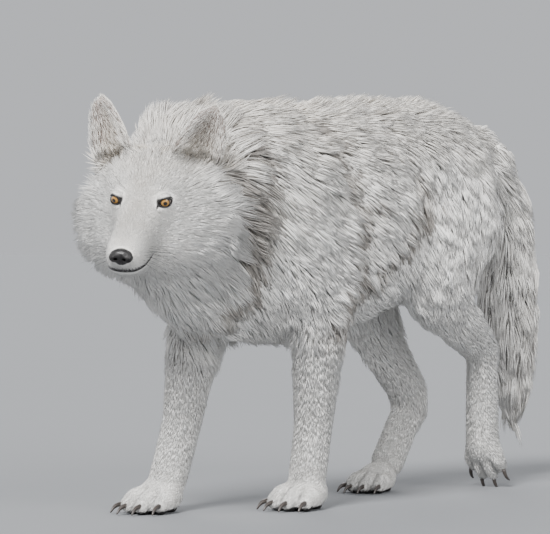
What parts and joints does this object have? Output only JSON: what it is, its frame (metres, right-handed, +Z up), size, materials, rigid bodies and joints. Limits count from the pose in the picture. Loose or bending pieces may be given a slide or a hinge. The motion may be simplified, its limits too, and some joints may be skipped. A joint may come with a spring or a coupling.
{
  "type": "arctic wolf",
  "caption": "Life-size still model of a white arctic wolf, walking with its head low and turned to its left, tail hanging.",
  "frame": {"origin": "middle of the bounding box in plan, at the floor", "axes": "+Y from head to tail, so the wolf faces -Y; +X to its left side; +Z up"},
  "size_m": [0.3286, 1.4626, 0.8087],
  "materials": {
    "coat": "matte, long fur",
    "nose_leather": "moist, pebbled",
    "claw_horn": "worn horn",
    "eye": "wet, clear"
  },
  "bodies": {
    "root": {"head": "coat", "lower_jaw": "coat", "ear_left": "coat", "ear_right": "coat", "neck": "coat", "chest": "coat", "belly": "coat", "rump": "coat", "tail": "coat", "foreleg_left_upper": "coat", "foreleg_left_lower": "coat", "forepaw_left": "coat", "foreleg_right_upper": "coat", "foreleg_right_lower": "coat", "forepaw_right": "coat", "thigh_left": "coat", "shank_left": "coat", "metatarsus_left": "coat", "hindpaw_left": "coat", "thigh_right": "coat", "shank_right": "coat", "metatarsus_right": "coat", "hindpaw_right": "coat", "nose": "nose_leather", "eye_left": "eye", "eye_right": "eye", "foreclaw_left_1": "claw_horn", "foreclaw_left_2": "claw_horn", "foreclaw_left_3": "claw_horn", "foreclaw_left_4": "claw_horn", "foreclaw_right_1": "claw_horn", "foreclaw_right_2": "claw_horn", "foreclaw_right_3": "claw_horn", "foreclaw_right_4": "claw_horn", "hindclaw_left_1": "claw_horn", "hindclaw_left_2": "claw_horn", "hindclaw_left_3": "claw_horn", "hindclaw_left_4": "claw_horn", "hindclaw_right_1": "claw_horn", "hindclaw_right_2": "claw_horn", "hindclaw_right_3": "claw_horn", "hindclaw_right_4": "claw_horn"}
  },
  "joints": []
}
